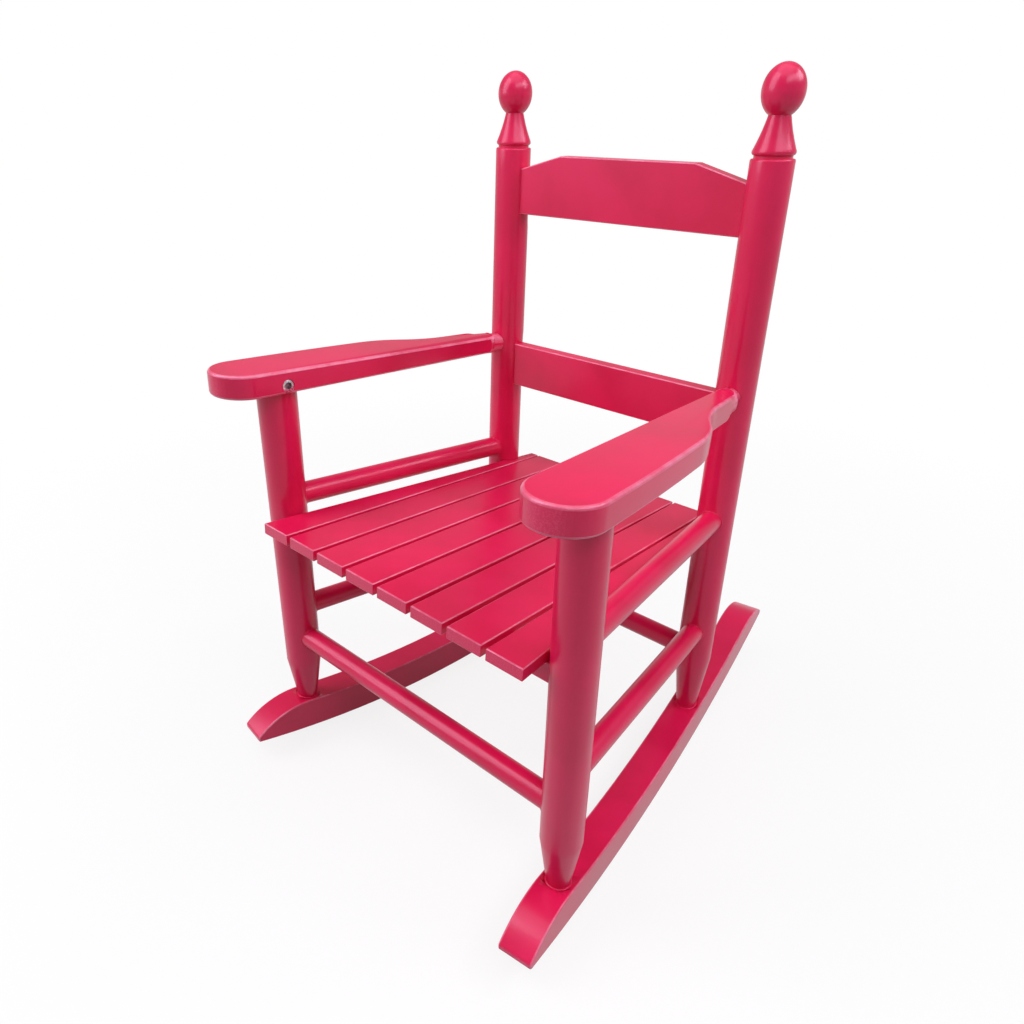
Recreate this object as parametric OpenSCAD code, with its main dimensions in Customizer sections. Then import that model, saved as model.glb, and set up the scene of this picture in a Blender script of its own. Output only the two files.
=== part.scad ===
// Childrens rocking chair, in millimetres.
// The chair stands on the plane z = 0 and faces -Y. Right is +X, seen from the front.
// Each side is one flat frame: rocker, front leg, rear post, arm and two dowels.
// The two side frames turn in towards the back, and cross pieces hold them apart.

/* [Side frames] */
// Half the distance between the two side frames, at mid depth and floor level
half_span = 130.7; // [125:0.1:150]
// Angle by which each side frame turns in towards the back
toe_in = 7.51; // [6.5:0.01:8]
// Angle by which each side frame leans in towards the top
lean_in = 0.86; // [0:0.01:1.5]

/* [Rockers] */
// Length of a rocker board
rocker_l = 487; // [460:1:560]
// Thickness of a rocker board
rocker_t = 27.9; // [24:0.1:34]
// Height of a rocker board between sole and top edge
rocker_h = 31.5; // [28:0.1:42]
// Radius of the sole
sole_r = 872; // [650:1:1200]
// Radius of the rounded nose at each end
nose_r = 68; // [45:1:110]
// Thickness left at the tip of a nose
nose_tip = 5; // [3:0.5:8]
// Place of the sole's lowest point, which lies under the chair's centre of mass
rest_y = -41; // [-55:0.5:20]

/* [Legs and posts] */
// Diameter of the turned front legs
leg_d = 31.7; // [28:0.1:36]
// Diameter of the turned rear posts at the bottom of the shaft
post_d = 31.1; // [28:0.1:36]
// Diameter of the rear posts at the top of the shaft
post_top_d = 29.7; // [28:0.1:34]
// Place of the front legs at floor level
leg_foot_y = -182.2; // [-190:0.1:-172]
// Angle by which the front legs lean back
leg_rake = 0.91; // [0:0.01:3]
// Place of the rear posts at floor level
post_foot_y = 65.9; // [55:0.1:78]
// Angle by which the rear posts lean back, or forward if negative
post_rake = -0.23; // [-1:0.01:2]
// Diameter of the foot where it enters the rocker
foot_d = 19; // [15:0.5:22]
// Height over the floor where a front leg's foot starts to taper
leg_taper_z = 89.2; // [78:0.1:100]
// Height over the floor where a rear post's foot starts to taper
post_taper_z = 94.8; // [82:0.1:105]
// Depth of the foot in the rocker
foot_tenon = 18; // [12:0.5:22]
// Length of the foot's straight part over the rocker
foot_neck = 2; // [0.5:0.5:6]

/* [Finials] */
// Overall height of the chair, to the top of the egg finials
chair_h = 569; // [545:1:600]
// Width of the egg
egg_d = 28.1; // [24:0.1:34]
// Height of the egg
egg_h = 32.7; // [26:0.1:38]
// Diameter of the neck under the egg
neck_d = 14.7; // [11:0.1:18]
// Height of the flared cone under the neck
cone_h = 23.9; // [18:0.1:28]
// Depth of the cone's hollow side under a straight line
cone_hollow = 0.5; // [0.1:0.1:1.5]
// Diameter of the lip at the bottom of the cone
lip_d = 28.9; // [26.5:0.1:34]
// Radius of the lip's rounded edge
lip_round = 2.2; // [0.5:0.1:2.5]
// Diameter at the bottom of the groove under the cone
groove_d = 25.6; // [20:0.1:26]
// Width of that groove
groove_w = 1.8; // [1.2:0.1:4]
// Radius of the shaft's rounded top edge
shaft_round = 1.4; // [0.3:0.1:1.8]

/* [Arms] */
// Height of the arm's top face over the front leg
arm_z = 371.3; // [350:0.1:395]
// Angle by which the arms fall towards the back
arm_pitch = 3.21; // [2:0.01:5]
// Thickness of an arm board
arm_t = 18.7; // [17:0.1:22]
// Radius of the rounded nose
arm_nose_r = 24.9; // [22:0.1:27]
// Distance from the leg forward to the nose's centre
arm_nose_u = 25.9; // [10:0.1:35]
// Distance from the side frame outward to the nose's centre
arm_nose_x = 1; // [0:0.1:2]
// Distance from the side frame to the outer edge at its widest
arm_wide_x = 29.5; // [29.2:0.1:34]
// Distance from the side frame to the outer edge of the narrow rear end
arm_neck_out = 11.3; // [9:0.1:13]
// Distance from the side frame to the inner edge of the narrow rear end
arm_neck_in = 10.5; // [9:0.1:13]
// Distance from the leg back to the start of the S curve
arm_s_start = 93.6; // [60:0.1:105]
// Length of the S curve
arm_s_len = 78.7; // [50:0.1:90]
// Radius of the corners at the rear end
arm_corner = 7; // [4:0.5:8]
// Radius of the rounded edges
arm_round = 2.8; // [1.5:0.1:4]
// Distance between the rear end and the post
arm_collar = 6; // [3:0.5:9]
// Diameter of the round tenon at the rear end
arm_tenon_d = 17; // [12:0.5:17.5]
// Depth of that tenon in the post
arm_tenon_in = 8; // [5:0.5:8.5]

/* [Back] */
// Thickness of the back slats
back_t = 11; // [9:0.5:13]
// Height of the crest slat's flat top
crest_top_z = 508.5; // [490:0.1:510]
// Height of the crest slat's lower edge
crest_low_z = 462; // [440:0.1:480]
// Half length of the crest slat's flat top
crest_flat_x = 60.3; // [40:0.1:80]
// Angle of the crest slat's sloping shoulders
crest_slope = 15; // [0:0.5:22]
// Height of the lower back slat's upper edge
low_top_z = 348.4; // [340:0.1:370]
// Height of the lower back slat's lower edge
low_low_z = 309; // [290:0.1:330]
// Depth of the back slats in the posts
mortise_in = 6; // [3:0.5:6.5]
// Radius of the back slats' rounded edges
back_ease = 1.2; // [0.5:0.1:2]

/* [Seat] */
// Thickness of the seat slats
slat_t = 9.8; // [8:0.1:12]
// Place of the slats' front ends
seat_front_y = -211.5; // [-216:0.5:-206]
// Height of the seat's top face at the front ends
seat_front_z = 249.9; // [246:0.1:260]
// Length of the slats
seat_l = 306.8; // [298:0.1:330]
// Angle by which the seat falls towards the back
seat_pitch = 4.51; // [3:0.01:6]
// Distance from a side frame in to the seat's outer edge, at the front
seat_front_in = 18.8; // [17.6:0.1:26]
// Distance from a side frame in to the seat's outer edge, at the back
seat_rear_in = 9.9; // [7:0.1:12.8]
// Gap between slats at the front
gap_front = 4.4; // [3:0.1:8]
// Gap between slats at the back
gap_rear = 1.8; // [1.5:0.1:5]
// Chamfer on the slats' edges
slat_ease = 0.7; // [0.3:0.1:1.5]
// Height of the rails under the slats
rail_h = 14.5; // [12:0.5:18]
// Thickness of the rails under the slats
rail_t = 14; // [10:0.5:18]
// Depth of the rails in the legs and posts
rail_in = 10; // [6:0.5:11]

/* [Dowels] */
// Diameter of all dowels
dowel_d = 18.7; // [15:0.1:20.5]
// Height of the upper side rail at the front leg
upper_front_z = 257; // [252:0.1:270]
// Height of the upper side rail at the rear post
upper_rear_z = 241.3; // [236:0.1:255]
// Height of the lower side stretcher at the front leg
lower_front_z = 145.2; // [141:0.1:175]
// Height of the lower side stretcher at the rear post
lower_rear_z = 127.9; // [124:0.1:160]
// Height of the front stretcher
front_str_z = 117.3; // [102:0.1:120]
// Height of the rear stretcher
rear_str_z = 101.1; // [92:0.1:104]
// Depth of every dowel in its leg or post
dowel_in = 10.5; // [6:0.5:11.5]

/* [Hardware] */
// Diameter of the barrel nut across each arm
nut_d = 10; // [8:0.5:11]
// Length of the barrel nut
nut_l = 30; // [20:0.5:34]
// Depth of the barrel nut's axis under the arm's top face
nut_drop = 12.3; // [9:0.1:12.7]
// Depth of the barrel nut's end in the arm's inner face
nut_flush = 0.4; // [0.3:0.1:1.5]
// Width across the flats of the barrel nut's hexagon socket
socket_af = 5; // [4:0.5:5.5]
// Depth of that socket
socket_deep = 2.5; // [1:0.1:3]
// Chamfer on the rim of the barrel nut's end
nut_chamfer = 0.8; // [0.3:0.1:1.2]
// Diameter of the hanger bolt between leg and arm
bolt_d = 6; // [4:0.5:7]
// Depth of the hanger bolt in the leg
bolt_in = 30; // [15:1:45]
// Diameter of the slat screws' shanks
screw_d = 3.5; // [2.5:0.1:4.5]
// Diameter of the slat screws' heads
screw_head_d = 7; // [5.5:0.1:8]
// Length of a slat screw that is in its slat
screw_in = 5.5; // [3:0.5:6.5]
// Length of a slat screw's pointed end
screw_point = 2; // [1:0.5:3]

/* [Fits] */
// Clearance around every dowel and tenon, on the radius
fit = 0.1; // [0.05:0.05:0.3]
// Room left at the bottom of every blind hole
end_gap = 0.8; // [0.3:0.1:1.2]
// Clearance between the outer seat slats and the rear posts
scribe_gap = 0.3; // [0.1:0.1:1]

/* [Hidden] */
$fn = 96;

slat_count = 8;
leg_r = leg_d / 2;
foot_r = foot_d / 2;
neck_r = neck_d / 2;
head_h = (screw_head_d - screw_d) / 2;
// Extra length of a cutter beyond what it cuts
over = 5;
rose = "#d8315b";
deep_rose = "#c42b4e";
steel = "#b9bcc0";

// Place of a point of the right side frame, from its depth and height
function side_x(y, z) = half_span - tan(toe_in) * y - tan(lean_in) * z;
function side_pt(y, z) = [side_x(y, z), y, z];
function leg_pt(z) = side_pt(leg_foot_y + tan(leg_rake) * z, z);
function post_pt(z) = side_pt(post_foot_y + tan(post_rake) * z, z);
// Ratio of length along a leaning axis to height
leg_k = norm(leg_pt(1) - leg_pt(0));
post_k = norm(post_pt(1) - post_pt(0));

// Height of the rocker's top edge over the floor, at a depth y
rest_u = rest_y / cos(toe_in);
function rocker_top_z(y) =
  sole_r - sqrt(pow(sole_r - rocker_h, 2) - pow(y / cos(toe_in) - rest_u, 2));

leg_tenon_z = rocker_top_z(leg_foot_y) - foot_tenon;
post_tenon_z = rocker_top_z(post_foot_y) - foot_tenon;

// Heights of the finial's parts
egg_z = chair_h - egg_h / 2;
egg_cut_a = acos(neck_d / egg_d);
neck_z = egg_z - egg_h / 2 * sin(egg_cut_a);
groove_top_z = neck_z - cone_h;
shaft_top_z = groove_top_z - groove_w;

// Radius of the slightly tapered rear post at height z
function post_r(z) =
  (post_d + (post_top_d - post_d) * (z - post_taper_z) / (shaft_top_z - post_taper_z)) / 2;

// Mirrors a right-hand piece to the left side
module on_side(s) {
  if (s > 0) children();
  else mirror([1, 0, 0]) children();
}

// Draws along the line from p to q, with p at the origin and q on +Z
module along(p, q) {
  d = q - p;
  translate(p)
    rotate([0, acos(d[2] / norm(d)), atan2(d[1], d[0])])
      children();
}

// A straight dowel between two axis points, starting in_p and ending in_q from them
module dowel(p, q, in_p, in_q, grow_r, grow_l) {
  along(p, q)
    translate([0, 0, in_p - grow_l])
      cylinder(r = dowel_d / 2 + grow_r, h = norm(q - p) - in_p - in_q + 2 * grow_l);
}

function mirror_x(p) = [-p[0], p[1], p[2]];

// A dowel of the right side frame, from the leg at height zl to the post at height zp
module side_dowel(zl, zp, grow_r, grow_l) {
  dowel(leg_pt(zl), post_pt(zp), leg_r - dowel_in, post_r(zp) - dowel_in, grow_r, grow_l);
}

module upper_dowel(grow_r = 0, grow_l = 0) side_dowel(upper_front_z, upper_rear_z, grow_r, grow_l);
module lower_dowel(grow_r = 0, grow_l = 0) side_dowel(lower_front_z, lower_rear_z, grow_r, grow_l);

// A dowel across the chair that ends in the pieces of radius r around q and its mirror image
module cross_dowel(q, r, grow_r, grow_l) {
  dowel(mirror_x(q), q, r - dowel_in, r - dowel_in, grow_r, grow_l);
}

module front_dowel(grow_r = 0, grow_l = 0) cross_dowel(leg_pt(front_str_z), leg_r, grow_r, grow_l);
module rear_dowel(grow_r = 0, grow_l = 0) {
  cross_dowel(post_pt(rear_str_z), post_r(rear_str_z), grow_r, grow_l);
}

// Frame of the right rocker: local y runs along the board
module rocker_place() {
  translate([side_x(0, rocker_h / 2), 0, 0])
    rotate([0, 0, toe_in])
      children();
}

// Distance from the sole's centre to the centre of a nose's arc
nose_m = sole_r - rocker_h + nose_r;

// Angle, seen from the sole's centre, at which the nose at end e touches the top edge
function nose_a(e) =
  let (du = abs(e * rocker_l / 2 - rest_u),
    dz = sqrt(sole_r * sole_r - du * du) - nose_tip,
    d = norm([du, dz]))
  atan2(du, dz) - acos((nose_m * nose_m + d * d - nose_r * nose_r) / (2 * nose_m * d));

// Outline of a rocker in its own plane: a band between two arcs with rounded noses
module rocker_outline() {
  o = [rest_u, sole_r];
  far = 1.2 * sole_r;
  intersection() {
    difference() {
      translate(o) circle(r = sole_r, $fn = 1440);
      translate(o) circle(r = sole_r - rocker_h, $fn = 1440);
    }
    translate([-rocker_l / 2, -over]) square([rocker_l, sole_r / 2]);
    union() {
      polygon([o, o + far * [sin(nose_a(1)), -cos(nose_a(1))],
        o + far * [-sin(nose_a(-1)), -cos(nose_a(-1))]]);
      for (e = [-1, 1])
        translate(o + nose_m * [e * sin(nose_a(e)), -cos(nose_a(e))]) circle(r = nose_r, $fn = 240);
    }
  }
}

module rocker() {
  color(deep_rose)
    difference() {
      rocker_place()
        rotate([90, 0, 90])
          translate([0, 0, -rocker_t / 2])
            linear_extrude(rocker_t) rocker_outline();
      leg_foot(fit, end_gap);
      post_foot(fit, end_gap);
    }
}

// The hole for a foot, from the tenon's end to past the rocker's top edge
module foot(p, q, grow_r, grow_l) {
  along(p, q)
    translate([0, 0, -grow_l]) cylinder(r = foot_r + grow_r, h = foot_tenon + 2 * over + grow_l);
}

module leg_foot(grow_r, grow_l) foot(leg_pt(leg_tenon_z), leg_pt(leg_taper_z), grow_r, grow_l);
module post_foot(grow_r, grow_l) foot(post_pt(post_tenon_z), post_pt(post_taper_z), grow_r, grow_l);

// Half profile of a tenon and a tapered foot, up to the full radius r at height taper_end
function foot_profile(r, taper_end) = [
  [0, 0], [foot_r, 0], [foot_r, foot_tenon + foot_neck], [r, taper_end]];

// Space over the arm's underside, which cuts the front leg's top end
module over_arm_underside() {
  arm_place()
    translate([-2 * leg_r, -2 * leg_r, -arm_t]) cube([4 * leg_r, 4 * leg_r, 2 * arm_t]);
}

module front_leg() {
  z0 = leg_tenon_z;
  h = (arm_z - z0) * leg_k;
  color(rose)
    difference() {
      along(leg_pt(z0), leg_pt(arm_z))
        rotate_extrude()
          polygon(concat(foot_profile(leg_r, (leg_taper_z - z0) * leg_k), [[leg_r, h], [0, h]]));
      over_arm_underside();
      upper_dowel(fit, end_gap);
      lower_dowel(fit, end_gap);
      front_dowel(fit, end_gap);
      front_rail(fit);
      bolt_space();
    }
}

// Points of an arc around c, for outlines
function arc(c, r, a0, a1, n) =
  [for (i = [0 : n]) c + r * [cos(a0 + (a1 - a0) * i / n), sin(a0 + (a1 - a0) * i / n)]];

// Half profile of a rear post above its shaft, with local heights of its parts
function finial_profile(shaft, groove, neck, egg) =
  let (r = post_top_d / 2,
    lip = [lip_d / 2 - lip_round, groove + lip_round],
    d = [neck_r, neck] - lip,
    lip_a = atan2(d[1], d[0]) - acos(lip_round / norm(d)),
    // The cone's side is a hollow arc from the lip up to the neck
    low = lip + lip_round * [cos(lip_a), sin(lip_a)],
    chord = [neck_r, neck] - low,
    hollow_r = (pow(norm(chord) / 2, 2) + pow(cone_hollow, 2)) / (2 * cone_hollow),
    out = [chord[1], -chord[0]] / norm(chord),
    half_a = asin(norm(chord) / 2 / hollow_r),
    mid_a = atan2(-out[1], -out[0]))
  concat(
    arc([r - shaft_round, shaft - shaft_round], shaft_round, 0, 90, 4),
    [[groove_d / 2, shaft], [groove_d / 2, groove]],
    arc(lip, lip_round, -90, lip_a, 8),
    arc(low + chord / 2 + (hollow_r - cone_hollow) * out, hollow_r,
      mid_a + half_a * 2 / 3, mid_a - half_a * 2 / 3, 4),
    [for (i = [0 : 24]) let (a = i * 90 / 24 - egg_cut_a * (1 - i / 24))
      [egg_d / 2 * cos(a), egg + egg_h / 2 * sin(a)]]);

module rear_post() {
  z0 = post_tenon_z;
  profile = concat(
    foot_profile(post_d / 2, (post_taper_z - z0) * post_k),
    finial_profile((shaft_top_z - z0) * post_k, (groove_top_z - z0) * post_k,
      (neck_z - z0) * post_k, (egg_z - z0) * post_k));
  color(rose)
    difference() {
      along(post_pt(z0), post_pt(chair_h)) rotate_extrude() polygon(profile);
      upper_dowel(fit, end_gap);
      lower_dowel(fit, end_gap);
      rear_dowel(fit, end_gap);
      rear_rail(fit);
      arm_tenon(fit, end_gap);
      back_mortises();
    }
}

// Frame of the right arm: origin on its top face over the leg, local y along the arm
module arm_place() {
  translate(leg_pt(arm_z))
    rotate([0, 0, toe_in])
      rotate([-arm_pitch, 0, 0])
        children();
}

// Distance along the arm from the leg to the axis of the rear post, and to the rear end
arm_reach = (post_pt(arm_z)[1] - leg_pt(arm_z)[1]) / cos(toe_in) / cos(arm_pitch);
arm_end_u = arm_reach - post_r(arm_z) - arm_collar;

// Line of the arm's inner edge, which touches the nose
nose_c = [arm_nose_x, -arm_nose_u];
inner_d = [-arm_neck_in, arm_end_u - arm_corner] - nose_c;
inner_a = atan2(inner_d[1], inner_d[0]) + acos(arm_nose_r / norm(inner_d));
function arm_inner_x(u) = nose_c[0] + (arm_nose_r - (u - nose_c[1]) * sin(inner_a)) / cos(inner_a);

// Outline of the arm board, seen from above: nose, bowed outer edge, S curve, narrow rear end
module arm_outline() {
  bow_w = arm_wide_x - arm_nose_x;
  bow_l = arm_s_start + arm_nose_u;
  bow_r = (pow(bow_w, 2) + pow(bow_l, 2) - pow(arm_nose_r, 2)) / (2 * (bow_w - arm_nose_r));
  bow_a = asin(bow_l / (bow_r - arm_nose_r));
  s_w = arm_wide_x - arm_neck_out;
  s_r = (pow(arm_s_len, 2) + pow(s_w, 2)) / (4 * s_w);
  s_a = asin(arm_s_len / 2 / s_r);
  corner_u = arm_end_u - arm_corner;
  polygon(concat(
    arc(nose_c, arm_nose_r, inner_a, 360 - bow_a, 28),
    arc([arm_wide_x - bow_r, arm_s_start], bow_r, -bow_a * 0.75, 0, 3),
    arc([arm_wide_x - s_r, arm_s_start], s_r, s_a / 8, s_a, 7),
    arc([arm_neck_out + s_r, arm_s_start + arm_s_len], s_r, 180 + s_a * 7 / 8, 180, 7),
    arc([arm_neck_out - arm_corner, corner_u], arm_corner, 0, 90, 6),
    arc([arm_corner - arm_neck_in, corner_u], arm_corner, 90, 180, 6)));
}

// Round tenon at the arm's rear end, also used for its hole in the post
module arm_tenon(grow_r = 0, grow_l = 0) {
  root = 2 * over;
  arm_place()
    translate([0, arm_end_u - root, -arm_t / 2])
      rotate([-90, 0, 0])
        cylinder(r = arm_tenon_d / 2 + grow_r, h = root + arm_collar + arm_tenon_in + grow_l);
}

// Barrel nut's space: across the arm from its inner face
module nut_place() {
  translate(leg_pt(arm_z - nut_drop))
    rotate([0, 0, toe_in])
      translate([arm_inner_x(0) + nut_flush, 0, 0])
        children();
}

// The barrel nut's hole, open at the arm's inner face
module nut_hole() {
  nut_place()
    translate([-over, 0, 0])
      rotate([0, 90, 0])
        cylinder(r = nut_d / 2 + fit, h = nut_l + over);
}

// Hanger bolt's space, from inside the leg to the top of the nut
module bolt_space(grow_r = 0) {
  along(leg_pt(arm_z - arm_t - bolt_in), leg_pt(arm_z))
    cylinder(r = bolt_d / 2 + grow_r, h = bolt_in + arm_t - nut_drop + nut_d / 2);
}

module arm() {
  color(rose)
    difference() {
      union() {
        arm_place()
          translate([0, 0, -arm_t + arm_round])
            minkowski() {
              linear_extrude(arm_t - 2 * arm_round) offset(delta = -arm_round) arm_outline();
              sphere(r = arm_round, $fn = 16);
            }
        arm_tenon();
      }
      nut_hole();
      bolt_space(fit);
    }
}

module barrel_nut() {
  r = nut_d / 2;
  c = nut_chamfer;
  color(steel)
    difference() {
      nut_place()
        rotate([0, 90, 0])
          difference() {
            rotate_extrude() polygon([[0, 0], [r - c, 0], [r, c], [r, nut_l], [0, nut_l]]);
            translate([0, 0, -over])
              cylinder(r = socket_af / 2 / cos(30), h = socket_deep + over, $fn = 6);
          }
      bolt_space(fit / 5);
    }
}

module hanger_bolt() color(steel) bolt_space();

// Frame of the back: local z runs along the posts, y = 0 in the plane of their axes
module back_place() {
  translate([0, post_foot_y, 0])
    rotate([-post_rake, 0, 0])
      translate([0, back_t / 2, 0])
        rotate([90, 0, 0])
          children();
}

// Half length of a back slat that ends in the posts at height z
function slat_end_x(z) = post_pt(z)[0] - post_r(z) + mortise_in;

// Outlines of the crest slat and the lower back slat, grown by grow on all sides
module crest_outline(grow = 0) {
  xe = slat_end_x((crest_low_z + crest_top_z) / 2) + grow;
  ze = crest_top_z - (xe - crest_flat_x) * tan(crest_slope);
  polygon([[-xe, crest_low_z - grow], [xe, crest_low_z - grow], [xe, ze + grow],
    [crest_flat_x, crest_top_z + grow], [-crest_flat_x, crest_top_z + grow], [-xe, ze + grow]]);
}

module low_outline(grow = 0) {
  xe = slat_end_x((low_low_z + low_top_z) / 2) + grow;
  translate([-xe, low_low_z - grow]) square([2 * xe, low_top_z - low_low_z + 2 * grow]);
}

// The back slats' mortises in the posts, which have square edges
module back_mortises() {
  back_place()
    translate([0, 0, -fit])
      linear_extrude(back_t + 2 * fit) {
        crest_outline(fit);
        low_outline(fit);
      }
}

// A back slat with rounded edges, from its outline
module back_slat() {
  color(rose)
    back_place()
      translate([0, 0, back_ease])
        minkowski() {
          linear_extrude(back_t - 2 * back_ease) offset(delta = -back_ease) children();
          sphere(r = back_ease, $fn = 16);
        }
}

// Frame of the seat: origin at the middle of its front edge, local y along the slats, top at z = 0
module seat_place() {
  translate([0, seat_front_y, seat_front_z])
    rotate([-seat_pitch, 0, 0])
      children();
}

// Width over all slats at the front and at the back
seat_front_w = 2 * (side_x(seat_front_y, seat_front_z) - seat_front_in);
seat_rear_w = 2 * (side_x(seat_front_y + seat_l * cos(seat_pitch),
  seat_front_z - seat_l * sin(seat_pitch)) - seat_rear_in);

// Width of a slat, which is the same all along, and the gaps that narrow towards the back
slat_w = (seat_front_w - (slat_count - 1) * gap_front) / slat_count;
function slat_gap(v) = gap_front + (gap_rear - gap_front) * v / seat_l;
function slat_c(i, v) = (i - (slat_count + 1) / 2) * (slat_w + slat_gap(v));
// Half the seat's width, which cuts the outer edges of the first and last slat
function seat_edge(v) = (seat_front_w + (seat_rear_w - seat_front_w) * v / seat_l) / 2;
// Left and right edge of slat i, at distance v from its front end
function slat_x0(i, v) = i == 1 ? -seat_edge(v) : slat_c(i, v) - slat_w / 2;
function slat_x1(i, v) = i == slat_count ? seat_edge(v) : slat_c(i, v) + slat_w / 2;

// Distance along the seat, and height, at which a rail meets an axis with this foot and rake
rail_w = -slat_t - rail_h / 2;
function rail_v(foot_y, rake) =
  (foot_y - seat_front_y - rail_w * sin(seat_pitch)
    + tan(rake) * (seat_front_z + rail_w * cos(seat_pitch)))
  / (cos(seat_pitch) + tan(rake) * sin(seat_pitch));
function rail_z(v) = seat_front_z - v * sin(seat_pitch) + rail_w * cos(seat_pitch);
front_rail_v = rail_v(leg_foot_y, leg_rake);
rear_rail_v = rail_v(post_foot_y, post_rake);
front_rail_z = rail_z(front_rail_v);
rear_rail_z = rail_z(rear_rail_v);

// A rail under the slats at distance v, with half length xe
module rail(v, xe, grow) {
  seat_place()
    translate([-xe - grow, v - rail_t / 2 - grow, -slat_t - rail_h - grow])
      cube([2 * (xe + grow), rail_t + 2 * grow, rail_h + 2 * grow]);
}

module front_rail(grow = 0) rail(front_rail_v, leg_pt(front_rail_z)[0] - leg_r + rail_in, grow);
module rear_rail(grow = 0) {
  rail(rear_rail_v, post_pt(rear_rail_z)[0] - post_r(rear_rail_z) + rail_in, grow);
}

// Screws from below, through a rail at distance v into slats i0 to i1
module slat_screws(v, i0, i1) {
  seat_place()
    for (i = [i0 : i1])
      translate([(slat_x0(i, v) + slat_x1(i, v)) / 2, v, -slat_t - rail_h]) screw_body();
}

module screw_body() {
  rotate_extrude($fn = 32)
    polygon([[0, 0], [screw_head_d / 2, 0], [screw_d / 2, head_h],
      [screw_d / 2, rail_h + screw_in - screw_point], [0, rail_h + screw_in]]);
}

// The outer slats are too narrow at the back for a screw
module front_screws() slat_screws(front_rail_v, 1, slat_count);
module rear_screws() slat_screws(rear_rail_v, 2, slat_count - 1);

// A seat slat: a board with chamfered edges, cut round the rear posts where it meets them
module seat_slat(i) {
  color("#ec3a63")
    difference() {
      seat_place()
        intersection() {
          slat_side_profile();
          slat_edge(slat_x0(i, 0), slat_x0(i, seat_l), 1);
          slat_edge(slat_x1(i, 0), slat_x1(i, seat_l), -1);
        }
      if (i == 1 || i == slat_count) on_side(i == 1 ? -1 : 1) post_scribe();
      front_screws();
      rear_screws();
    }
}

// Side view of all slats, with chamfered ends
module slat_side_profile() {
  e = slat_ease;
  rotate([90, 0, 90])
    translate([0, 0, -seat_front_w])
      linear_extrude(2 * seat_front_w)
        polygon([[e, 0], [0, -e], [0, -slat_t + e], [e, -slat_t],
          [seat_l - e, -slat_t], [seat_l, -slat_t + e], [seat_l, -e], [seat_l - e, 0]]);
}

// Space beside a chamfered long edge that runs from x0 to x1, on its right if s is 1
module slat_edge(x0, x1, s) {
  e = slat_ease;
  c = s * (e + over);
  w = s * seat_front_w;
  translate([x0, 0, 0])
    rotate([90, 0, atan2(x0 - x1, seat_l)])
      translate([0, 0, -seat_l - over])
        linear_extrude(seat_l + 2 * over)
          polygon([[0, -e], [c, over], [w, over], [w, -slat_t - over], [c, -slat_t - over],
            [0, e - slat_t]]);
}

// Room for the rear post in the edge of the outer slat
module post_scribe() {
  h = slat_t + rail_h;
  z = rear_rail_z;
  along(post_pt(z - h), post_pt(z + h)) cylinder(r = post_r(z) + scribe_gap, h = 2 * h);
}

module front_seat_rail() {
  color(deep_rose)
    difference() {
      front_rail();
      front_screws();
    }
}

module rear_seat_rail() {
  color(deep_rose)
    difference() {
      rear_rail();
      rear_screws();
    }
}

on_side(-1) rocker();  // rocker_left
on_side(1) rocker();  // rocker_right
on_side(-1) front_leg();  // front_leg_left
on_side(1) front_leg();  // front_leg_right
on_side(-1) rear_post();  // rear_post_left
on_side(1) rear_post();  // rear_post_right
on_side(-1) arm();  // arm_left
on_side(1) arm();  // arm_right
back_slat() crest_outline();  // crest_slat
back_slat() low_outline();  // lower_back_slat
for (i = [1 : slat_count]) {
  seat_slat(i);
}
front_seat_rail();
rear_seat_rail();
on_side(-1) color(rose) upper_dowel();  // upper_side_rail_left
on_side(1) color(rose) upper_dowel();  // upper_side_rail_right
on_side(-1) color(rose) lower_dowel();  // lower_side_stretcher_left
on_side(1) color(rose) lower_dowel();  // lower_side_stretcher_right
color(rose) front_dowel();  // front_stretcher
color(rose) rear_dowel();  // rear_stretcher
on_side(-1) barrel_nut();  // barrel_nut_left
on_side(1) barrel_nut();  // barrel_nut_right
on_side(-1) hanger_bolt();  // hanger_bolt_left
on_side(1) hanger_bolt();  // hanger_bolt_right
color(steel) front_screws();  // front_slat_screws
color(steel) rear_screws();  // rear_slat_screws
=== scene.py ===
"""Looks of a childrens rocking chair: crimson paint on turned and sawn wood, zinc hardware, a pale studio."""
import logging
import math
from collections.abc import Callable
from dataclasses import dataclass
from enum import Enum
from functools import partial

import bmesh
import bpy
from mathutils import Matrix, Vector
from mathutils.bvhtree import BVHTree


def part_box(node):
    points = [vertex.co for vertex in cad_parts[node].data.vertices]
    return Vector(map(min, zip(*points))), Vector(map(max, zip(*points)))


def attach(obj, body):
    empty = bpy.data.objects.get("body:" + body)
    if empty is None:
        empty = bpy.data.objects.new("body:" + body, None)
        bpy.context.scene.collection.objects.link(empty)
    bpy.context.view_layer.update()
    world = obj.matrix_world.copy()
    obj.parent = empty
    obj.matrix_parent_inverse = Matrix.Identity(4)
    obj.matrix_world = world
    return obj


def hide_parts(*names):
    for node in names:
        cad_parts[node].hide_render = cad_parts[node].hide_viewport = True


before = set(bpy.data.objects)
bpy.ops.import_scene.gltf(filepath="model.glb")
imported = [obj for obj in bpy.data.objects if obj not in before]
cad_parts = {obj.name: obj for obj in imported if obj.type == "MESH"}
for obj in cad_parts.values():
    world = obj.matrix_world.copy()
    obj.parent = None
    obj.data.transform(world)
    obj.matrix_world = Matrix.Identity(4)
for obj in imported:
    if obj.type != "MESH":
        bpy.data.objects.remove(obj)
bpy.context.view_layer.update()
LOG = logging.getLogger("rocking_chair")
BODY = "root"
MM = 0.001
UP = Vector((0.0, 0.0, 1.0))
RIGHTWARD = Vector((1.0, 0.0, 0.0))
WHITE = (1.0, 1.0, 1.0, 1.0)
# Vertices of a node this close, in metres, become one; faces within this many degrees become one.
WELD = 2e-6
FLAT_ANGLE = 0.25
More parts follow.
